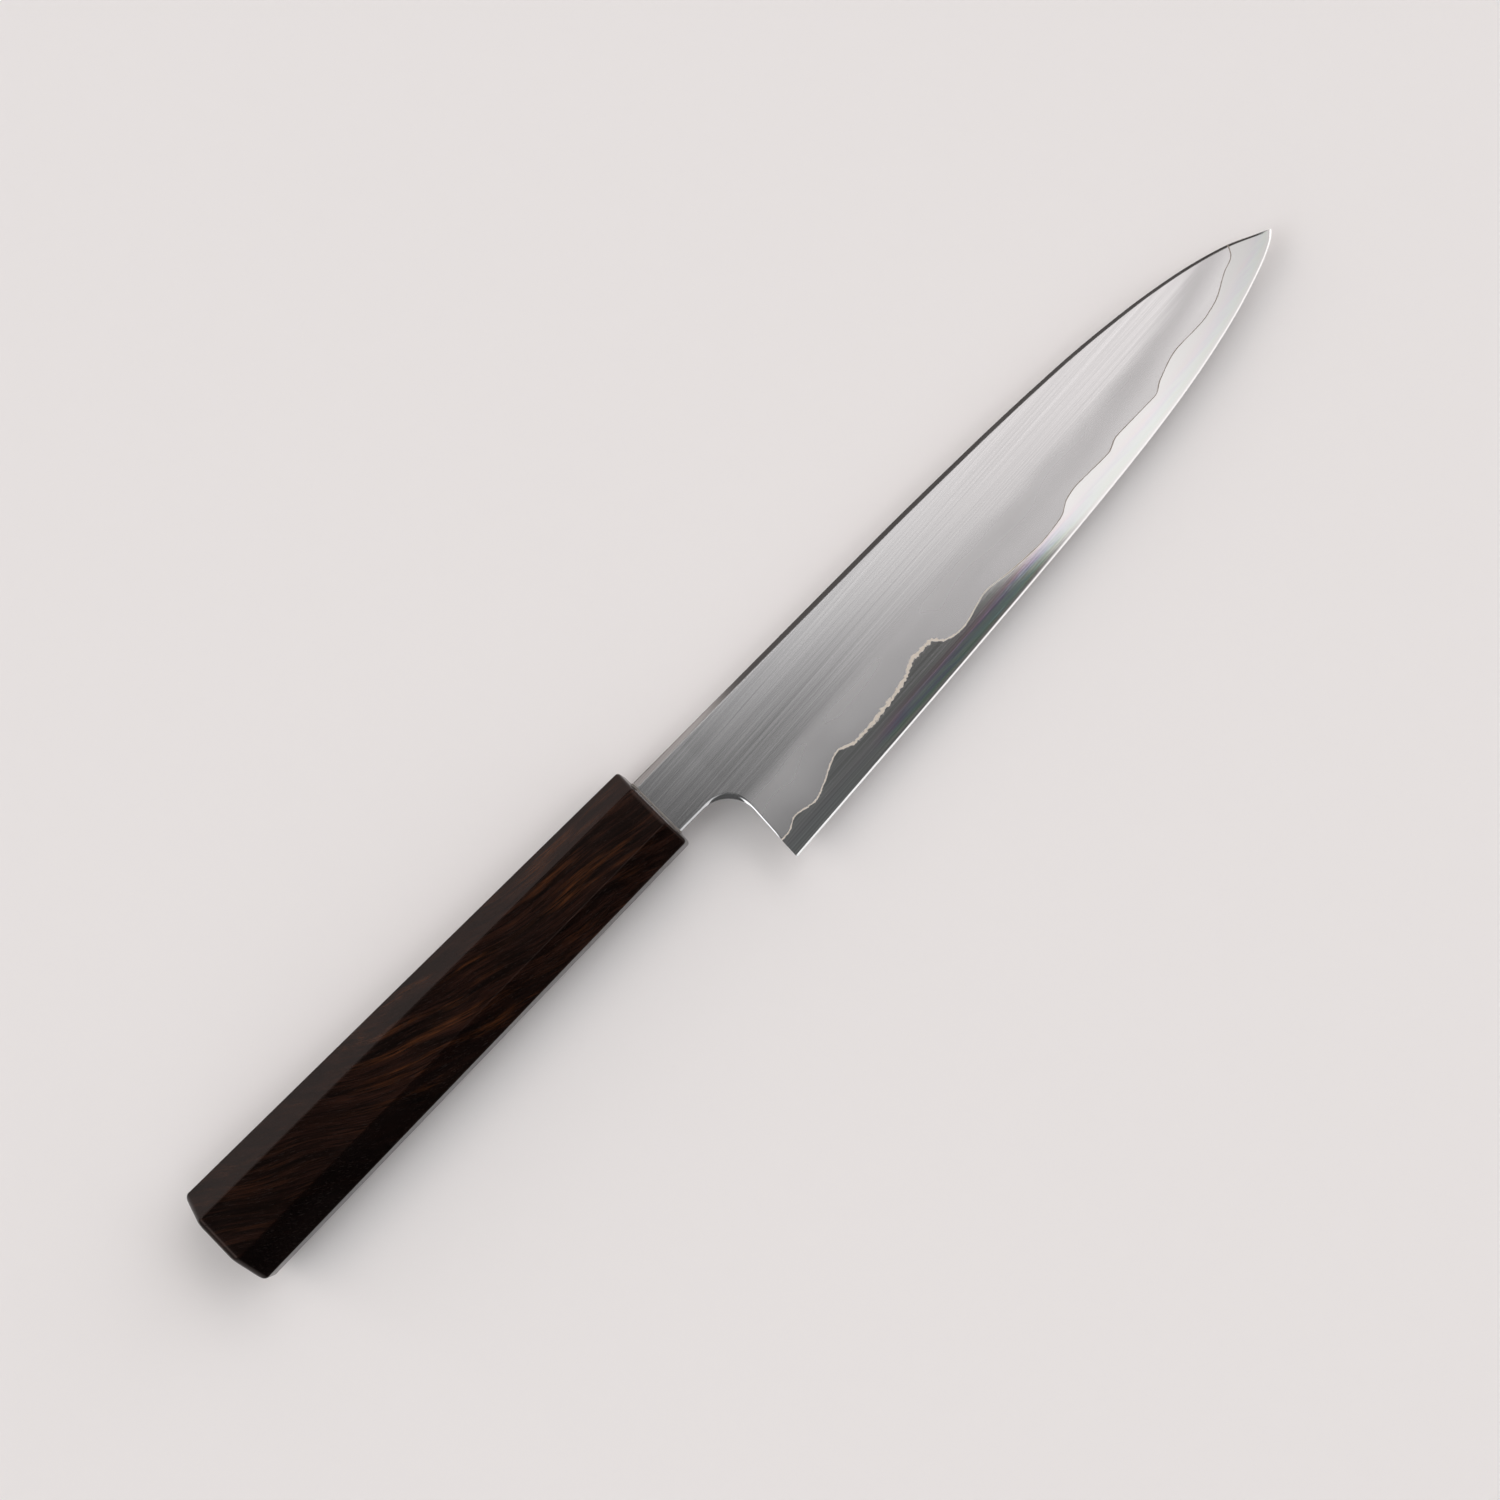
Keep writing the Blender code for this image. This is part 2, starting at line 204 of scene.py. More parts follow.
# Spacing of the mesh on the blade's sides.
LINE_ROWS = (0.35, 0.8, 1.5)        # distances of the rows beside the lamination line
GRID_STEP, GRID_RATIO = 1.25, 0.92
BORDER_ROOM, LINE_ROOM, POINT_ROOM = 0.42, 0.3, 0.33


class Layout:
    """The blade seen from the side: points with the height of the outer surface, and faces between them."""

    def __init__(self):
        self.points, self.heights = [], []
        self.faces, self.in_core = [], []
        self.creases = set()

    def add(self, x, y, z=None):
        self.points.append((x, y))
        self.heights.append(side_z(x, y) if z is None else z)
        return len(self.points) - 1

    def face(self, corners, core):
        ring = [c for i, c in enumerate(corners) if c != corners[i - 1]]
        if len(ring) > 2:
            self.faces.append(ring)
            self.in_core.append(core)


def stations(start, count, count_to_tip):
    """Places along the blade from start up to the tip, without the tip itself."""
    return spread(start, CURVE_START_X, count) + spread(CURVE_START_X, TIP[0], count_to_tip)[1:-1]


def inward(curve, x, side):
    """Unit vector square to the curve at x, towards the side: 1 is up and -1 is down."""
    slope = (curve(x + SLOPE_STEP) - curve(x - SLOPE_STEP)) / (2 * SLOPE_STEP)
    length = math.hypot(1, slope)
    return -side * slope / length, side / length


def spine_column(x):
    """One column of the outline on the spine, as rim_columns lists them."""
    direction = (0, -1) if x == SHOULDER_X else inward(spine_y, x, -1)
    width = min(SPINE_ROUNDING * (spine_half(x) / NECK_HALF) ** 0.7, TIP_TAPER * (TIP[0] - x))
    half = min(spine_half(x), side_z(x, spine_y(x)))
    return (x, spine_y(x), *direction, width, SPINE_DROP * half, SPINE_RIM)


def rim_columns():
    """The outline from the shoulder's top round the tip and heel to its bottom.

    Each column is (x, y, inward x, inward y, width, drop, profile): the rim runs inward from the outline
    for its width, and its outermost point lies lower by its drop.
    """
    bevel_drop = BEVEL_HALF - EDGE_HALF
    along_spine = [x for x in stations(SHOULDER_X, 84, 66) if abs(x - LINE_SPINE_X) > 0.2]
    columns = [spine_column(x) for x in sorted(along_spine + [LINE_SPINE_X])]
    columns.append((*TIP, -1, 0, 0, bevel_drop, BEVEL_RIM))
    for x in reversed(stations(HEEL[0] + 0.7, 130, 60)):
        width = min(BEVEL_HEIGHT, TIP_TAPER * (TIP[0] - x))
        columns.append((x, edge_y(x), *inward(edge_y, x, 1), width, bevel_drop, BEVEL_RIM))
    columns.append((*HEEL, 0.45, 1, BEVEL_HEIGHT, bevel_drop, BEVEL_RIM))
    return columns + choil_columns()


def choil_columns():
    """The rounded back of the heel, the choil's arc and the bottom of the neck."""
    columns = []
    top_x, top_y = CHOIL_CENTRE[0] + CHOIL_RADIUS, CHOIL_CENTRE[1]
    line_y = lamination_y(LINE_HEEL_X)
    for y in [-31.0, -30.2, -29.2, -28.2, -27.2, line_y] + spread(-25.4, top_y - 0.9, 9):
        share = (y - HEEL[1]) / (top_y - HEEL[1])
        x = blend(HEEL[0], top_x, share)
        width = blend(HEEL_RIM, CHOIL_RIM[0], share)
        columns.append((x, y, 1, -0.05, width, RIM_SLANT * width, EASED_RIM))
    for angle in spread(0, math.pi / 2, 27):
        x = CHOIL_CENTRE[0] + CHOIL_RADIUS * math.cos(angle)
        y = CHOIL_CENTRE[1] + CHOIL_RADIUS * math.sin(angle)
        width = blend(*CHOIL_RIM, math.sin(min(angle * 2, math.pi)) ** 1.5)
        columns.append((x, y, math.cos(angle), math.sin(angle), width, RIM_SLANT * width, EASED_RIM))
    for x in spread(CHOIL_CENTRE[0], SHOULDER_X, 8)[1:]:
        columns.append((x, NECK_BOTTOM, 0, 1, CHOIL_RIM[0], RIM_SLANT * CHOIL_RIM[0], EASED_RIM))
    return columns


def rim_column(layout, column):
    """One row of points from the outline inward."""
    x, y, inward_x, inward_y, width, drop, profile = column
    if width == 0:
        return [layout.add(x, y, EDGE_HALF)] * (len(profile) + 1)
    row = []
    for width_share, drop_share in profile:
        reach = width * width_share
        px, py = x + inward_x * reach, y + inward_y * reach
        side = side_z(px, py)
        if profile is BEVEL_RIM:
            z = blend(BEVEL_HALF, EDGE_HALF, drop_share)
        else:
            low = max(side - drop, CORE_SHARE * spine_half(x) + CORE_SKIN, EDGE_HALF)
            z = blend(side, min(low, side), drop_share)
        row.append(layout.add(px, py, z))
    support = width + min(SUPPORT, width / 3)
    row.append(layout.add(x + inward_x * support, y + inward_y * support))
    return row


def lamination_path(start, end):
    """Points of the lamination line between its ends on the rim."""
    return [(x, lamination_y(x)) for x in spread(start + 0.5, end - 0.25, 300)]


def in_core_zone(x, y):
    return x > LAMINATION_POINTS[0][0] and y < lamination_y(x)


def free_points(polygon_x, polygon_y, path):
    """Evenly spread points inside the rim, and rows that follow the lamination line."""
    points = []
    line = np.array(path)
    for offset in LINE_ROWS:
        for i in range(1, len(line) - 1):
            if offset > 1 and i % 2:
                continue
            tangent = line[i + 1] - line[i - 1]
            normal = np.array((-tangent[1], tangent[0])) / np.hypot(*tangent)
            for side in (-1, 1):
                points.append(tuple(line[i] + side * offset * normal))
    for row in range(int(41 / GRID_STEP)):
        for column in range(int(197 / GRID_STEP)):
            x = -0.5 + (column + row % 2 / 2) * GRID_STEP
            points.append((x, -32 + row * GRID_STEP * GRID_RATIO))
    points += [(x, y) for x in spread(-84, -4, 11) for y in (-1.5, 1.5)]       # the tang
    points = np.array(points)
    border = np.stack((polygon_x, polygon_y), 1)
    to_border = np.array([distance_to_path(p, border, True) for p in points])
    to_line = np.array([distance_to_path(p, line, False) for p in points])
    keep = inside_polygon(points, border) & (to_border > BORDER_ROOM) & (to_line > LINE_ROOM)
    return thin_out(points[keep], POINT_ROOM)


def distance_to_path(point, path, closed):
    starts = path if closed else path[:-1]
    ends = np.roll(path, -1, 0) if closed else path[1:]
    along = ends - starts
    share = np.clip(((point - starts) * along).sum(1) / np.maximum((along ** 2).sum(1), 1e-12), 0, 1)
    return float(np.sqrt((((starts + along * share[:, None]) - point) ** 2).sum(1).min()))


def inside_polygon(points, border):
    ends = np.roll(border, -1, 0)
    inside = np.zeros(len(points), bool)
    for (x0, y0), (x1, y1) in zip(border, ends):
        if y0 == y1:
            continue
        crosses = (y0 > points[:, 1]) != (y1 > points[:, 1])
        inside ^= crosses & (points[:, 0] < (x1 - x0) * (points[:, 1] - y0) / (y1 - y0) + x0)
    return inside


def thin_out(points, room):
    """Drop points that lie closer than room to an earlier one."""
    cells, kept = {}, []
    for x, y in points:
        key = (int(x // room), int(y // room))
        near = [q for i in (-1, 0, 1) for j in (-1, 0, 1) for q in cells.get((key[0] + i, key[1] + j), [])]
        if all((x - qx) ** 2 + (y - qy) ** 2 > room * room for qx, qy in near):
            cells.setdefault(key, []).append((x, y))
            kept.append((float(x), float(y)))
    return kept


def blade_layout():
    layout = Layout()
    columns = rim_columns()
    rows = [rim_column(layout, column) for column in columns]
    for here, there, row, following in zip(columns, columns[1:], rows, rows[1:]):
        core = in_core_zone((here[0] + there[0]) / 2, (here[1] + there[1]) / 2)
        for i in range(len(row) - 1):
            layout.face([row[i + 1], row[i], following[i], following[i + 1]], core)
        if BEVEL_RIM in (here[-1], there[-1]) and row[-2] != following[-2]:
            layout.creases.add((row[-2], following[-2]))
    fill_inside(layout, columns, rows)
    return layout


def closest_column(columns, place):
    return min(range(len(columns)), key=lambda i: math.dist(columns[i][:2], place))


def fill_inside(layout, columns, rows):
    """Cover the sides and the tang with triangles that follow the lamination line."""
    border = [row[-1] for row in rows]
    border += [layout.add(SHOULDER_X, -TANG_ROOT / 2), layout.add(-TANG_LENGTH, -TANG_END / 2),
               layout.add(-TANG_LENGTH, TANG_END / 2), layout.add(SHOULDER_X, TANG_ROOT / 2)]
    border = [b for i, b in enumerate(border) if b != border[i - 1]]
    start = rows[closest_column(columns, (LINE_HEEL_X, lamination_y(LINE_HEEL_X)))][-1]
    end = rows[closest_column(columns, (LINE_SPINE_X, spine_y(LINE_SPINE_X)))][-1]
    path = lamination_path(layout.points[start][0], layout.points[end][0])
    path = [p for p in path if math.dist(p, layout.points[start]) > LINE_ROOM
            and math.dist(p, layout.points[end]) > LINE_ROOM]
    line = [start] + [layout.add(*p) for p in path] + [end]
    xs, ys = zip(*(layout.points[b] for b in border))
    free = [layout.add(*p) for p in free_points(xs, ys, [layout.points[i] for i in line])]
    used = border + [i for i in line if i not in (start, end)] + free
    place = {index: i for i, index in enumerate(used)}
    flat = [Vector(layout.points[i]) for i in used]
    edges = [(place[a], place[b]) for a, b in zip(line, line[1:])]
    found = delaunay_2d_cdt(flat, edges, [[place[b] for b in border]], 1, 1e-7)
    names = [used[source[0]] if source else layout.add(*vert) for vert, source in zip(found[0], found[3])]
    for corners in found[2]:
        x = sum(found[0][c][0] for c in corners) / len(corners)
        y = sum(found[0][c][1] for c in corners) / len(corners)
        layout.face([names[c] for c in corners], in_core_zone(x, y))


# ---------------------------------------------------------------- meshes

SHARP = math.radians(33)            # edges that bend by more than this stay sharp


def finish_mesh(name, body, material, creases=()):
    """Turn a bmesh in knife millimetres into a piece on the root body."""
    bmesh.ops.recalc_face_normals(body, faces=body.faces)
    for face in body.faces:
        face.smooth = True
    for edge in body.edges:
        edge.smooth = edge.calc_face_angle(0) < SHARP and edge not in creases
    body.transform(PLACE)
    mesh = bpy.data.meshes.new(name)
    body.to_mesh(mesh)
    body.free()
    piece = bpy.data.objects.new(name, mesh)
    bpy.context.scene.collection.objects.link(piece)
    mesh.materials.append(material)
    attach(piece, "root")
    return piece


def add_blade_attributes(piece):
    """Distances in millimetres that the blade's materials read.

    to_line is measured from the lamination line, and is negative on the core's side of it. to_edge is
    measured from the edge, fallen is the depth below the ground side, and above_haze and above_band are
    heights above the haze's upper limit and the darker band's middle.
    """
    mesh = piece.data
    inverse = PLACE.inverted()
    places = np.array([inverse @ v.co for v in mesh.vertices])
    line = np.array([(x, lamination_y(x)) for x in spread(13, 188, 700)])
    edge = np.array([(x, edge_y(x)) for x in spread(HEEL[0], TIP[0], 500)])
    side = np.array([-1 if in_core_zone(x, y) else 1 for x, y, _ in places])
    values = {"to_line": nearest(places, line) * side,
              "to_edge": nearest(places, edge),
              "fallen": np.array([side_z(x, y) - abs(z) for x, y, z in places]),
              "above_haze": np.array([y - satin_limit_y(x) for x, y, _ in places]),
              "above_band": np.array([y - grey_band_y(x) for x, y, _ in places])}
    for name, distance in values.items():
        layer = mesh.attributes.new(name, "FLOAT", "POINT")
        layer.data.foreach_set("value", distance.astype(np.float32))


def nearest(places, path):
    """Distance of each place to the path, worked out in slices to keep memory small."""
    starts, along = path[:-1], path[1:] - path[:-1]
    lengths = (along ** 2).sum(1)
    result = np.empty(len(places))
    for i in range(0, len(places), 2000):
        to = places[i:i + 2000, None, :2] - starts[None]
        share = np.clip((to * along).sum(2) / lengths, 0, 1)
        result[i:i + 2000] = np.sqrt(((to - along * share[:, :, None]) ** 2).sum(2).min(1))
    return result


def make_cladding(layout, name, side, material):
    """One side layer: the outer surface outside the core zone, closed by a flat inner face."""
    body = bmesh.new()
    outer, inner = {}, {}
    faces = [ring for ring, core in zip(layout.faces, layout.in_core) if not core]
    for i in {i for ring in faces for i in ring}:
        x, y = layout.points[i]
        outer[i] = body.verts.new((x, y, side * layout.heights[i]))
        inner[i] = body.verts.new((x, y, side * CORE_SHARE * spine_half(x)))
    close_layer(body, faces, outer, inner)
    piece = finish_mesh(name, body, material)
    add_blade_attributes(piece)
    return piece


def close_layer(body, faces, upper, lower):
    """Faces on both levels, and walls along the open edges between them."""
    count = {}
    for ring in faces:
        body.faces.new([upper[i] for i in ring])
        body.faces.new([lower[i] for i in reversed(ring)])
        for i, j in zip(ring, ring[1:] + ring[:1]):
            key = frozenset((i, j))
            count[key] = None if key in count else (i, j)
    for pair in count.values():
        if pair:
            i, j = pair
            body.faces.new([upper[j], upper[i], lower[i], lower[j]])


def make_core(layout, material):
    """The hard core: thin between the claddings, and the whole blade on the edge's side of the line."""
    body = bmesh.new()
    verts = {}

    def vert(i, side, core):
        x, y = layout.points[i]
        z = layout.heights[i] if core else CORE_SHARE * spine_half(x)
        key = (i, side, core)
        if key not in verts:
            verts[key] = body.verts.new((x, y, side * z))
        return verts[key]

    uses = {}
    for ring, core in zip(layout.faces, layout.in_core):
        body.faces.new([vert(i, 1, core) for i in ring])
        body.faces.new([vert(i, -1, core) for i in reversed(ring)])
        for i, j in zip(ring, ring[1:] + ring[:1]):
            uses.setdefault(frozenset((i, j)), []).append((i, j, core))
    for shared in uses.values():
        i, j, core = shared[0]
        if len(shared) == 1:
            body.faces.new([vert(j, 1, core), vert(i, 1, core), vert(i, -1, core), vert(j, -1, core)])
        elif shared[1][2] != core:
            for side in (1, -1):
                body.faces.new([vert(i, side, True), vert(j, side, True),
                                vert(j, side, False), vert(i, side, False)])
    piece = finish_mesh("blade_core", body, material, bevel_creases(layout, body, verts))
    add_blade_attributes(piece)
    return piece


def bevel_creases(layout, body, verts):
    """The edges of the core where the bevel meets the ground side."""
    creases = set()
    for pair in layout.creases:
        for side in (1, -1):
            ends = [verts.get((i, side, True)) for i in pair]
            edge = None if None in ends else body.edges.get(ends)
            if edge:
                creases.add(edge)
    return creases


# ---------------------------------------------------------------- handle

RIDGE_RADIUS = 0.5
RIDGE_GROWTH = 1.5                  # the ridges get rounder where they run over the ends' rounded edges
RIDGE_STEPS = 4
RIDGE_SUPPORT = 0.25
BUTT_DOME = 0.0048                  # the butt's dome falls back by this times the square of the distance
BUTT_ROUNDING, FRONT_ROUNDING = 1.5, 0.9


def octagon_ring(width, thickness, corner, radius=RIDGE_RADIUS):
    """A rounded octagon: each ridge is an arc, with a point on the facet at either side of it."""
    y, z = width / 2, thickness / 2
    corners = [(y - corner, z), (-y + corner, z), (-y, z - corner), (-y, -z + corner),
               (-y + corner, -z), (y - corner, -z), (y, -z + corner), (y, z - corner)]
    ring = []
    for i, here in enumerate(corners):
        here = Vector(here)
        before = (Vector(corners[i - 1]) - here).normalized()
        after = (Vector(corners[(i + 1) % 8]) - here).normalized()
        reach = radius * math.tan(math.radians(22.5))
        middle = (before + after).normalized()
        centre = here + middle * radius / math.cos(math.radians(22.5))
        ring.append(here + before * (reach + RIDGE_SUPPORT))
        first = here + before * reach - centre
        turn = -math.radians(45) if first.cross(here + after * reach - centre) < 0 else math.radians(45)
        for step in range(RIDGE_STEPS + 1):
            point = first.copy()
            point.rotate(Matrix.Rotation(turn * step / RIDGE_STEPS, 2))
            ring.append(centre + point)
        ring.append(here + after * (reach + RIDGE_SUPPORT))
    return ring


def handle_ring(x, inset=0.0):
    share = -x / HANDLE_LENGTH
    width, thickness, corner = (blend(f, b, share) for f, b in zip(FRONT, BUTT))
    ring = octagon_ring(width - 2 * inset, thickness - 2 * inset, corner - inset * (2 - math.sqrt(2)),
                        RIDGE_RADIUS + inset * RIDGE_GROWTH)
    return [(x, y, z) for y, z in ring]


def slot_ring(x, size, guide):
    """Points of a rectangle at x, one in the direction of each guide point."""
    half_y, half_z = size[0] / 2, size[1] / 2
    ring = []
    for _, y, z in guide:
        scale = min(half_y / max(abs(y), 1e-6), half_z / max(abs(z), 1e-6))
        ring.append((x, y * scale, z * scale))
    for sign_y in (-1, 1):
        for sign_z in (-1, 1):
            corner = Vector((x, sign_y * half_y, sign_z * half_z))
            nearest_i = min(range(len(ring)), key=lambda i: (Vector(ring[i]) - corner).length)
            ring[nearest_i] = tuple(corner)
    return ring


def make_handle(material):
    """The octagonal handle with softened ridges, a slightly domed butt and the bore for the tang."""
    rings = []
    for scale in (0.2, 0.4, 0.6, 0.8, 0.93):
        rim = handle_ring(-HANDLE_LENGTH, BUTT_ROUNDING)
        rings.append([(-HANDLE_LENGTH + BUTT_DOME * (y * y + z * z) * scale ** 2, y * scale, z * scale)
                      for _, y, z in rim])
    for angle in spread(90, 0, 8):
        inset = BUTT_ROUNDING * (1 - math.cos(math.radians(angle)))
        reach = BUTT_ROUNDING * (1 - math.sin(math.radians(angle)))
        ring = handle_ring(-HANDLE_LENGTH, inset)
        rings.append([(-HANDLE_LENGTH + reach + BUTT_DOME * (y * y + z * z), y, z) for _, y, z in ring])
    rings += [handle_ring(x) for x in spread(-HANDLE_LENGTH + 3, -FRONT_ROUNDING - 0.3, 12)]
    for angle in spread(0, 90, 6):
        inset = FRONT_ROUNDING * (1 - math.cos(math.radians(angle)))
        x = -FRONT_ROUNDING + FRONT_ROUNDING * math.sin(math.radians(angle))
        rings.append(handle_ring(x, inset))
    rings.append(handle_ring(0, FRONT_ROUNDING + 0.2))
    rings.append(slot_ring(0, BORE_MOUTH, rings[-1]))
    rings.append(slot_ring(-BORE_DEPTH, BORE_END, rings[-1]))
    body = bmesh.new()
    loops = [[body.verts.new(p) for p in ring] for ring in rings]
    for here, there in zip(loops, loops[1:]):
        for i in range(len(here)):
            j = (i + 1) % len(here)
            body.faces.new((here[i], here[j], there[j], there[i]))
    butt = body.verts.new((-HANDLE_LENGTH, 0, 0))
    end = body.verts.new((-BORE_DEPTH, 0, 0))
    for i in range(len(loops[0])):
        j = (i + 1) % len(loops[0])
        body.faces.new((butt, loops[0][j], loops[0][i]))
        body.faces.new((end, loops[-1][i], loops[-1][j]))
    return finish_mesh("handle", body, material)


# The bead of resin from the handle outward: x, how far it stands past the neck, corner radius.
BEAD_PROFILE = [(0.1, 0.18, 0.5), (0.3, 0.14, 0.5), (0.45, 0.06, 0.45), (0.5, -0.04, 0.4),
                (0.5, -0.2, 0.35)]


def rounded_ring(x, low_y, high_y, half_z, radius, steps=5):
    """A rectangle at x with rounded corners, of that many steps each."""
    ring = []
    for centre_y, centre_z, start in ((high_y - radius, half_z - radius, 0),
                                      (low_y + radius, half_z - radius, 90),
                                      (low_y + radius, -half_z + radius, 180),
                                      (high_y - radius, -half_z + radius, 270)):
        for step in range(steps + 1):
            angle = math.radians(start + 90 * step / steps)
            ring.append((x, centre_y + radius * math.cos(angle), centre_z + radius * math.sin(angle)))
    return ring


def make_seal(material):
    """The bead of resin round the neck, where the blade enters the handle."""
    top, bottom, half = SPINE_POINTS[0][1], NECK_BOTTOM, NECK_HALF
    hidden = (bottom + 1, top - 1, half - 0.35, 0.3)        # the bead's inner side, inside the steel
    rings = [rounded_ring(BEAD_PROFILE[0][0], *hidden)]
    for x, grow, radius in BEAD_PROFILE:
        rings.append(rounded_ring(x, bottom - grow, top + grow, half + grow, radius))
    rings.append(rounded_ring(BEAD_PROFILE[-1][0], *hidden))
    body = bmesh.new()
    loops = [[body.verts.new(p) for p in ring] for ring in rings]
    for here, there in zip(loops, loops[1:] + loops[:1]):
        for i in range(len(here)):
            j = (i + 1) % len(here)
            body.faces.new((here[i], here[j], there[j], there[i]))
    return finish_mesh("neck_bead", body, material)


# ---------------------------------------------------------------- node graphs

class Graph:
    """Adds nodes to one tree. Each call returns the output of the node that it adds."""

    def __init__(self, tree):
        self.tree = tree

    def feed(self, socket, value):
        if isinstance(value, bpy.types.NodeSocket):
            self.tree.links.new(value, socket)
        elif isinstance(value, (tuple, list)) and socket.type == "RGBA":
            socket.default_value = (*value, 1)
        else:
            socket.default_value = value

    def add(self, kind, inputs=None, output=0, **settings):
        node = self.tree.nodes.new("ShaderNode" + kind)
        for key, value in settings.items():
            setattr(node, key, value)
        for key, value in (inputs or {}).items():
            self.feed(node.inputs[key], value)
        return node.outputs[output]

    def separate(self, vector):
        node = self.tree.nodes.new("ShaderNodeSeparateXYZ")
        self.feed(node.inputs[0], vector)
        return node.outputs

    def math(self, operation, *values):
        return self.add("Math", dict(enumerate(values)), operation=operation)

    def plus(self, first, second):
        return self.math("ADD", first, second)

    def minus(self, first, second):
        return self.math("SUBTRACT", first, second)

    def times(self, first, second):
        return self.math("MULTIPLY", first, second)

    def larger(self, first, second):
        return self.math("MAXIMUM", first, second)

    def absolute(self, value):
        return self.math("ABSOLUTE", value)

    def line(self, value, slope, start):
        """The value times the slope, plus the start."""
        return self.math("MULTIPLY_ADD", value, slope, start)

    def remap(self, value, low, high, new_low=0.0, new_high=1.0, kind="LINEAR"):
        """Takes low..high to new_low..new_high, and stays at the ends beyond them."""
        inputs = {"Value": value, "From Min": low, "From Max": high, "To Min": new_low, "To Max": new_high}
        return self.add("MapRange", inputs, interpolation_type=kind, clamp=True)

    def rise(self, value, low, high, new_low=0.0, new_high=1.0):
        """As remap, with a soft start and end."""
        return self.remap(value, low, high, new_low, new_high, "SMOOTHSTEP")

    def fall(self, value, low, high):
        """1 up to low, softly down to 0 at high."""
        return self.rise(value, low, high, 1.0, 0.0)

    def between(self, share, first, second):
        return self.add("Mix", {0: share, 2: first, 3: second}, 0, data_type="FLOAT")

    def mix(self, share, first, second, blend_type="MIX"):
        return self.add("Mix", {0: share, 6: first, 7: second}, 2, data_type="RGBA", blend_type=blend_type)

    def shade(self, colour, value):
        """The colour times the value."""
        return self.mix(1.0, colour, self.add("CombineXYZ", {0: value, 1: value, 2: value}), "MULTIPLY")

    def stretch(self, place, scales, shift=0.0):
        """The three coordinates, each times its scale, with the shift added to the first."""
        return self.add("CombineXYZ", {0: self.line(place[0], scales[0], shift),
                                       1: self.times(place[1], scales[1]),
                                       2: self.times(place[2], scales[2])})

    def noise(self, place, scales, detail=2.0, roughness=0.5, shift=0.0):
        """Noise whose scales count features in a millimetre."""
        inputs = {"Vector": self.stretch(place, scales, shift), "Scale": 1.0, "Detail": detail,
                  "Roughness": roughness}
        return self.add("TexNoise", inputs)

    def bump(self, height, strength, distance):
        return self.add("Bump", {"Height": height, "Strength": strength, "Distance": distance})

    def attribute(self, name):
        return self.add("Attribute", output=2, attribute_name=name)

    def millimetres(self):
        """The three knife coordinates of the shaded point."""
        place = self.add("TexCoord", output=3)
        moved = self.add("VectorMath", {0: place, 1: tuple(PLACE.translation)}, operation="SUBTRACT")
        return self.separate(self.add("VectorMath", {0: moved, "Scale": 1000.0}, operation="SCALE"))


def new_material(name):
    material = bpy.data.materials.new(name)
    material.use_nodes = True
    shader = material.node_tree.nodes["Principled BSDF"]
    return material, Graph(material.node_tree), shader.inputs


# ---------------------------------------------------------------- wood

WOOD_DARK, WOOD_BROWN = (0.0017, 0.0007, 0.0006), (0.0066, 0.0025, 0.0018)
WOOD_PALE, WOOD_FIRE = (0.0175, 0.0064, 0.0040), (0.062, 0.0205, 0.0066)
# The last colour here is painted shade for the lower facet towards the butt.
WOOD_PORE, WOOD_PAINTED_SHADE = (0.003, 0.0015, 0.0012), (0.0012, 0.0006, 0.0006)
WOOD_SHINE = (1.0, 0.74, 0.66)
GRAIN_TURN_X, GRAIN_TURN = 52, 20   # the grain turns this far behind the front, over about this length
GRAIN_SLANTS = (-0.05, -0.52)       # rise of the grain in front, and what the turn adds towards the butt


def wood_layers(g, place):
    """The place with its second coordinate counted across the grain instead of across the handle."""
    x, y, z = place
    back = g.times(x, -1.0)
    swell = g.math("EXPONENT", g.line(back, 1 / GRAIN_TURN, -GRAIN_TURN_X / GRAIN_TURN))
    turn = g.math("LOGARITHM", g.plus(swell, 1.0), math.e)
    slant = g.line(back, GRAIN_SLANTS[0], g.times(turn, GRAIN_SLANTS[1] * GRAIN_TURN))
    drift = g.noise(place, (0.03, 0.025, 0.025), 1.0)
    return x, g.plus(g.plus(y, slant), g.line(drift, 9.0, -4.5)), z


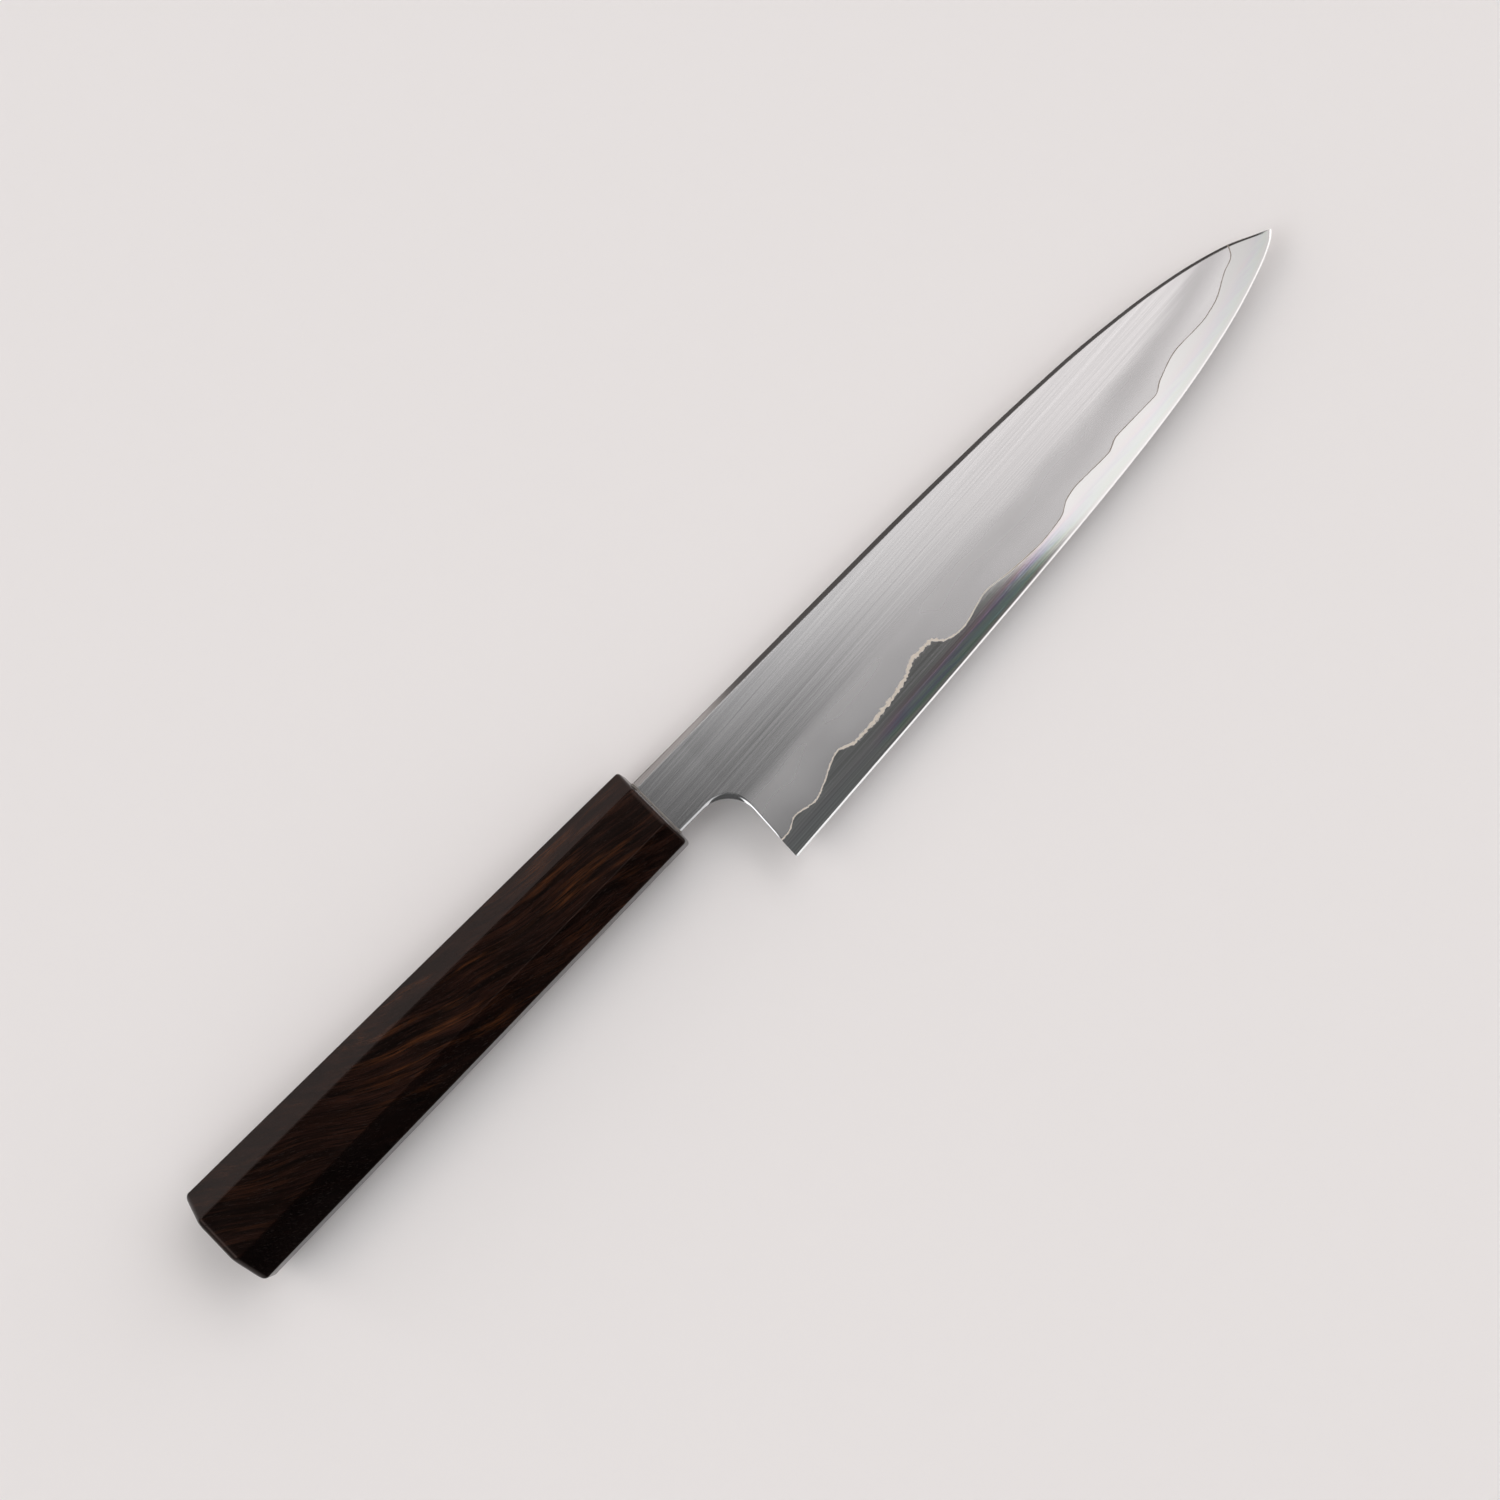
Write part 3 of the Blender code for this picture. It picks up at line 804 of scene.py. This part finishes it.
def wood_colour(g, place, layers, fibres, pore):
    """Dark and brown bands, pale streaks, glowing streaks in two zones, fine threads and painted shade on
    the lower facet towards the butt.
    """
    x, y, _ = place
    bands = g.noise(layers, (0.016, 0.24, 0.05), 3.0, 0.55)
    streaks = g.noise(layers, (0.04, 0.55, 0.12), 4.0, 0.62)
    fire = g.noise(layers, (0.030, 0.36, 0.10), 3.0, 0.6, 7.3)
    colour = g.mix(g.rise(bands, 0.36, 0.66), WOOD_DARK, WOOD_BROWN)
    paler = g.times(g.rise(streaks, 0.34, 0.68), g.rise(x, -125, -80, 0.45, 0.85))
    colour = g.mix(paler, colour, WOOD_PALE)
    middle = g.times(g.rise(x, -100, -78), g.fall(x, -58, -40))
    head = g.times(g.rise(x, -40, -26), g.rise(x, -12, -4, 1.0, 0.4))
    warmth = g.larger(g.larger(middle, head), 0.22)
    glow = g.times(g.rise(fire, 0.50, 0.70), g.remap(fibres, 0.3, 0.62, 0.25, 1.0))
    glow = g.times(g.times(glow, warmth), 0.8)
    colour = g.mix(glow, colour, WOOD_FIRE)
    colour = g.shade(colour, g.remap(fibres, 0.36, 0.62, 0.28, 1.40))
    colour = g.mix(g.times(pore, 0.75), colour, WOOD_PORE)
    # Painted shade: the lower facet, below the ridge, is darkened towards the butt.
    below_ridge = g.minus(g.line(x, 0.005, -5.5), y)
    painted_shade = g.times(g.remap(below_ridge, 0.0, 0.5), g.fall(x, -110, -25))
    return g.mix(g.times(painted_shade, 0.85), colour, WOOD_PAINTED_SHADE)


def dark_wood():
    """Near-black hardwood whose red-brown streaks run across the handle, and turn lengthwise in front."""
    material, g, shader = new_material("dark_wood")
    place = g.millimetres()
    layers = wood_layers(g, place)
    fibres = g.noise(layers, (0.13, 2.4, 0.6), 3.0, 0.65)
    pore = g.remap(g.noise(layers, (0.5, 6.5, 1.2), 1.0, 0.5), 0.66, 0.72)
    g.feed(shader["Base Color"], wood_colour(g, place, layers, fibres, pore))
    smudge = g.noise(place, (0.06, 0.12, 0.12), shift=3.1)
    rough = g.plus(g.remap(smudge, 0.3, 0.7, 0.15, 0.22), g.times(pore, 0.25))
    g.feed(shader["Roughness"], rough)
    g.feed(shader["Specular IOR Level"], 0.21)
    g.feed(shader["Specular Tint"], WOOD_SHINE)
    g.feed(shader["Normal"], g.bump(g.minus(g.times(fibres, 0.25), pore), 0.15, 0.00003))
    return material


# ---------------------------------------------------------------- steel and resin

SIDE_STEEL, EDGE_STEEL, BEVEL_STEEL = (0.60, 0.595, 0.60), (0.61, 0.615, 0.61), (0.80, 0.80, 0.80)
WELD_LIGHT, WELD_DARK = (0.69, 0.63, 0.56), (0.33, 0.285, 0.25)
WELD_ROUGHNESS, WELD_METAL, WELD_DEPTH = 0.75, 0.25, -0.8
PALE_RESIN = ((0.20, 0.18, 0.155), (0.13, 0.115, 0.10))
TINTED_RESIN = ((0.030, 0.018, 0.012), (0.018, 0.011, 0.008))


def brushing(g, place):
    """Fine scratches that run lengthwise, rising a little towards the tip. About 1 on average."""
    x, y, z = place
    across = g.line(x, -0.055, y)
    coarse = g.noise((x, across, z), (0.010, 1.7, 0.3), 3.0, 0.7)
    fine = g.noise((x, across, z), (0.022, 4.4, 0.5), 2.0, 0.7)
    return g.plus(coarse, fine)


def weld_line(g, x, y, to_line):
    """1 on the line where the core meets the cladding: crumbly in the heel's half, fine in the tip's."""
    crumbs = g.noise((x, y, 0.0), (1.3, 1.3, 0.0), 3.0, 0.7)
    wander = g.noise((x, y, 0.0), (0.22, 0.22, 0.0))
    crumbly = g.times(g.rise(x, 36, 50), g.fall(x, 68, 80))
    width = g.plus(g.remap(x, 76, 90, 0.13, 0.10), g.times(crumbly, 0.24))
    width = g.times(width, g.remap(wander, 0.3, 0.7, 0.6, 1.5))
    sway = g.plus(g.remap(x, 74, 92, 0.9, 0.2), g.times(crumbly, 1.3))
    ragged = g.plus(to_line, g.times(g.minus(crumbs, 0.5), sway))
    return g.fall(g.minus(g.absolute(ragged), width), -0.06, 0.06)


def weld_colour(g, x):
    """Pale near the heel and darker towards the tip."""
    return g.mix(g.remap(x, 88, 112), WELD_LIGHT, WELD_DARK)


def finish_steel(g, shader, anisotropy, height, strength):
    """Highlights drawn out across the lengthwise scratches, and the scratches' own relief."""
    g.feed(shader["Anisotropic"], anisotropy)
    g.feed(shader["Tangent"], g.add("CombineXYZ", {0: 0.0, 1: 1.0, 2: 0.0}))
    g.feed(shader["Normal"], g.bump(height, strength, 0.00001))


def cladding_steel():
    """Soft side steel: brushed in the upper part, stoned to a haze lower down, with a matte weld line."""
    material, g, shader = new_material("cladding_steel")
    place = x, y, _ = g.millimetres()
    brushed = brushing(g, place)
    cloud = g.noise(place, (0.05, 0.14, 0.1), 3.0, 0.55)
    to_line = g.attribute("to_line")
    weld = weld_line(g, x, y, to_line)
    haze = g.fall(g.plus(g.attribute("above_haze"), g.line(cloud, 3.0, -1.5)), -2.4, 2.0)
    satin = g.line(brushed, 0.05, 0.135)
    rough = g.between(haze, satin, g.remap(to_line, 0.0, 9.0, 0.22, 0.29))
    rough = g.between(weld, rough, WELD_ROUGHNESS)
    rough = g.between(g.remap(g.attribute("fallen"), 0.01, 0.05), rough, 0.05)
    g.feed(shader["Roughness"], rough)
    streak = g.remap(brushed, 0.7, 1.3, 0.85, 1.12)
    grey = g.between(haze, streak, g.remap(cloud, 0.3, 0.7, 0.97, 1.03))
    off_band = g.absolute(g.plus(g.attribute("above_band"), g.line(cloud, 2.0, -1.0)))
    band = g.times(g.fall(off_band, 0.3, 5.0), g.rise(x, 85, 175, 0.04, 0.17))
    # Painted shade: the side steel is darker over its first 26 mm beside the handle.
    grey = g.times(grey, g.minus(g.rise(x, 0, 26, 0.82, 1.0), band))
    g.feed(shader["Base Color"], g.mix(weld, g.shade(SIDE_STEEL, grey), weld_colour(g, x)))
    g.feed(shader["Metallic"], g.between(weld, 1.0, WELD_METAL))
    height = g.line(weld, WELD_DEPTH, g.times(brushed, g.minus(1.0, haze)))
    finish_steel(g, shader, 0.3, height, 0.12)
    return material


def oxide_tint(g, place, base, to_edge):
    """The base colour under a thin oxide film, whose hue changes with the distance from the edge."""
    veil = g.noise(place, (0.045, 0.7, 0.0), 3.0, 0.6, 2.0)
    hue = g.line(to_edge, 0.17, g.line(veil, 0.9, -0.30))
    tint = g.add("CombineColor", {0: hue, 1: 0.52, 2: 1.0}, mode="HSV")
    near_edge = g.times(g.remap(to_edge, 0.6, 1.3), g.remap(to_edge, 3.4, 5.5, 1.0, 0.0))
    along = g.times(g.rise(place[0], 44, 54, 0.10, 1.0), g.rise(place[0], 92, 118, 0.45, 0.08))
    along = g.times(along, g.remap(veil, 0.34, 0.52, 0.45, 1.0))
    return g.mix(g.times(near_edge, along), base, g.mix(1.0, tint, base, "MULTIPLY"))


def core_steel():
    """Hard edge steel: dark polish with lengthwise scratches, a faint oxide film and a bright bevel."""
    material, g, shader = new_material("core_steel")
    place = x, y, _ = g.millimetres()
    brushed = brushing(g, place)
    to_edge = g.attribute("to_edge")
    weld = weld_line(g, x, y, g.attribute("to_line"))
    bevel = g.remap(to_edge, 0.33, 0.41, 1.0, 0.0)
    streak = g.between(g.remap(x, 90, 120), g.remap(brushed, 0.7, 1.3, 0.76, 1.20), 1.0)
    tone = g.times(g.rise(x, 78, 125, 1.36, 1.0), g.remap(x, 145, 192, 1.0, 0.72))
    base = oxide_tint(g, place, g.shade(EDGE_STEEL, g.times(streak, tone)), to_edge)
    base = g.mix(weld, base, weld_colour(g, x))
    g.feed(shader["Base Color"], g.mix(bevel, base, BEVEL_STEEL))
    rough = g.between(weld, g.remap(brushed, 0.7, 1.3, 0.03, 0.065), WELD_ROUGHNESS)
    g.feed(shader["Roughness"], g.between(bevel, rough, 0.2))
    g.feed(shader["Metallic"], g.between(weld, 1.0, WELD_METAL))
    finish_steel(g, shader, 0.4, g.line(weld, WELD_DEPTH, brushed), 0.1)
    return material


def resin(name, colour, darker):
    """Cured resin with faint clouds and a few tiny bubbles."""
    material, g, shader = new_material(name)
    place = g.millimetres()
    cloud = g.noise(place, (0.9, 0.9, 0.9), 3.0, 0.6)
    bubbles = g.add("TexVoronoi", {"Vector": g.stretch(place, (1.4, 1.4, 1.4)), "Scale": 1.0})
    bubble = g.remap(bubbles, 0.10, 0.16, 1.0, 0.0)
    g.feed(shader["Base Color"], g.mix(g.remap(cloud, 0.3, 0.7), darker, colour))
    g.feed(shader["Roughness"], g.remap(cloud, 0.3, 0.7, 0.25, 0.4))
    g.feed(shader["Normal"], g.bump(g.minus(cloud, bubble), 0.3, 0.00005))
    return material


# ---------------------------------------------------------------- stage

FLOOR_COLOUR = (0.91, 0.895, 0.895)
FLOOR_HALF, FLOOR_Z = 6, -0.0003    # metres; just under the handle, so that no two faces coincide
SKY_SEEN = (0.80, 0.795, 0.79)      # colour of the sky behind the floor's far edge
SKY_TINTS = ((0.985, 1.0, 1.005), (1.03, 0.993, 0.985), (1.07, 0.985, 0.945))
SKY_BRIGHT, SKY_DIM, SKY_DARK, SKY_AROUND, SKY_HORIZON = 1.33, 0.12, 0.03, 2.2, 0.58

# Places in the sky are the x and y of a direction: 0, 0 is overhead, +y is on the spine's side and +x on
# the tip's.


def make_floor():
    """A plain pale floor under the knife."""
    mesh = bpy.data.meshes.new("floor")
    corners = [(-FLOOR_HALF, -FLOOR_HALF, 0), (FLOOR_HALF, -FLOOR_HALF, 0),
               (FLOOR_HALF, FLOOR_HALF, 0), (-FLOOR_HALF, FLOOR_HALF, 0)]
    mesh.from_pydata(corners, [], [(0, 1, 2, 3)])
    floor = bpy.data.objects.new("floor", mesh)
    floor.location.z = FLOOR_Z
    bpy.context.scene.collection.objects.link(floor)
    material, g, shader = new_material("pale_floor")
    g.feed(shader["Base Color"], FLOOR_COLOUR)
    g.feed(shader["Roughness"], 0.9)
    g.feed(shader["Specular IOR Level"], 0.2)
    mesh.materials.append(material)


def bright_patches(g, x, y):
    """1 in the patches that the steel mirrors towards an eye above it, and 0.35 in a calm strip."""
    leaning, steep = g.line(x, 0.52, y), g.line(x, 2.0, y)
    window = g.times(g.rise(leaning, 0.089, 0.099), g.rise(steep, 0.12, 0.265))
    window = g.times(window, g.fall(y, 0.22, 0.30))
    near_side = g.times(g.fall(y, -0.17, -0.11), g.rise(y, -0.52, -0.40))
    near_side = g.times(near_side, g.rise(x, -0.11, -0.06))
    below = g.times(g.fall(y, -0.50, -0.38), g.rise(y, -0.86, -0.74))
    below = g.times(below, g.fall(g.absolute(g.plus(x, 0.02)), 0.06, 0.09))
    calm = g.times(g.times(g.fall(x, 0.010, 0.030), g.rise(y, 0.30, 0.42)), g.fall(y, 0.86, 0.93))
    glint = g.times(g.rise(y, 0.28, 0.31), g.fall(y, 0.37, 0.41))
    glint = g.times(glint, g.fall(g.absolute(x), 0.03, 0.06))
    bright = g.larger(window, g.larger(near_side, below))
    return g.larger(g.larger(bright, g.times(calm, 0.35)), glint)


def bright_ring(g, x, y):
    """1 low in the sky behind the butt and in front of the tip, which lights the floor evenly."""
    behind = g.times(g.fall(x, -0.45, -0.30), g.rise(y, -0.14, -0.06))
    back = g.times(g.fall(x, -0.26, -0.18), g.rise(y, 0.30, 0.42))
    return g.larger(behind, g.larger(back, g.rise(x, 0.42, 0.55)))


def make_light():
    """One soft sky for everything, with bright, dim and calm parts by direction."""
    world = bpy.data.worlds.new("studio")
    world.use_nodes = True
    bpy.context.scene.world = world
    g = Graph(world.node_tree)
    x, y, _ = g.separate(g.add("TexCoord", output=0))
    reach = g.math("SQRT", g.plus(g.times(x, x), g.times(y, y)))
    start = g.rise(g.absolute(x), 0.28, 0.5, 0.985, 0.78)
    horizon = g.rise(g.minus(reach, start), 0.0, 0.06)
    around = g.times(bright_ring(g, x, y), g.minus(1.0, horizon))
    dim = g.rise(y, -0.93, -0.87, SKY_DARK, SKY_DIM)
    level = g.larger(g.between(bright_patches(g, x, y), dim, SKY_BRIGHT), g.times(around, SKY_AROUND))
    level = g.larger(level, g.times(g.times(horizon, g.rise(y, -0.93, -0.80)), SKY_HORIZON))
    tint = g.mix(g.remap(x, 0.02, 0.14), SKY_TINTS[0], SKY_TINTS[1])
    tint = g.mix(g.remap(y, 0.28, 0.36), tint, SKY_TINTS[2])
    seen = g.add("LightPath", output=0)
    background = world.node_tree.nodes["Background"]
    g.feed(background.inputs["Color"], g.mix(seen, g.shade(tint, level), SKY_SEEN))


CAMERA_LENS, CAMERA_SENSOR = 67.85, 36
CAMERA_EYE, CAMERA_TARGET = (21.8, -81.4, 650), (25.1, -6.4, 0)
CAMERA_TURN = math.radians(45.1)    # the picture's upright lies between the knife's tip and its spine


def make_camera():
    """A 68 mm lens 0.65 m above the knife, leaning in a little from the edge's side."""
    data = bpy.data.cameras.new("camera")
    data.lens = CAMERA_LENS
    data.sensor_width = CAMERA_SENSOR
    camera = bpy.data.objects.new("camera", data)
    bpy.context.scene.collection.objects.link(camera)
    eye = PLACE @ Vector(CAMERA_EYE)
    target = PLACE @ Vector(CAMERA_TARGET)
    up = (PLACE.to_3x3() @ Vector((math.sin(CAMERA_TURN), math.cos(CAMERA_TURN), 0))).normalized()
    back = (eye - target).normalized()
    right = up.cross(back).normalized()
    up = back.cross(right)
    rotation = Matrix((right, up, back)).transposed()
    camera.matrix_world = Matrix.Translation(eye) @ rotation.to_4x4()
    bpy.context.scene.camera = camera


# ---------------------------------------------------------------- assembly

bpy.context.scene.view_settings.view_transform = "Standard"
make_camera()
make_light()
make_floor()

steel_side, steel_core = cladding_steel(), core_steel()
blade = blade_layout()
core = make_core(blade, steel_core)
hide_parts("core_steel")
for side_name, side in (("right", 1), ("left", -1)):
    layer = make_cladding(blade, "blade_side_" + side_name, side, steel_side)
    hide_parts("cladding_" + side_name)
handle = make_handle(dark_wood())
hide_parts("handle_body")
bead = make_seal(resin("clear_resin", *PALE_RESIN))
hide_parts("neck_seal")
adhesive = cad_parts["tang_adhesive"]
adhesive.data.materials.clear()
adhesive.data.materials.append(resin("bedding_resin", *TINTED_RESIN))
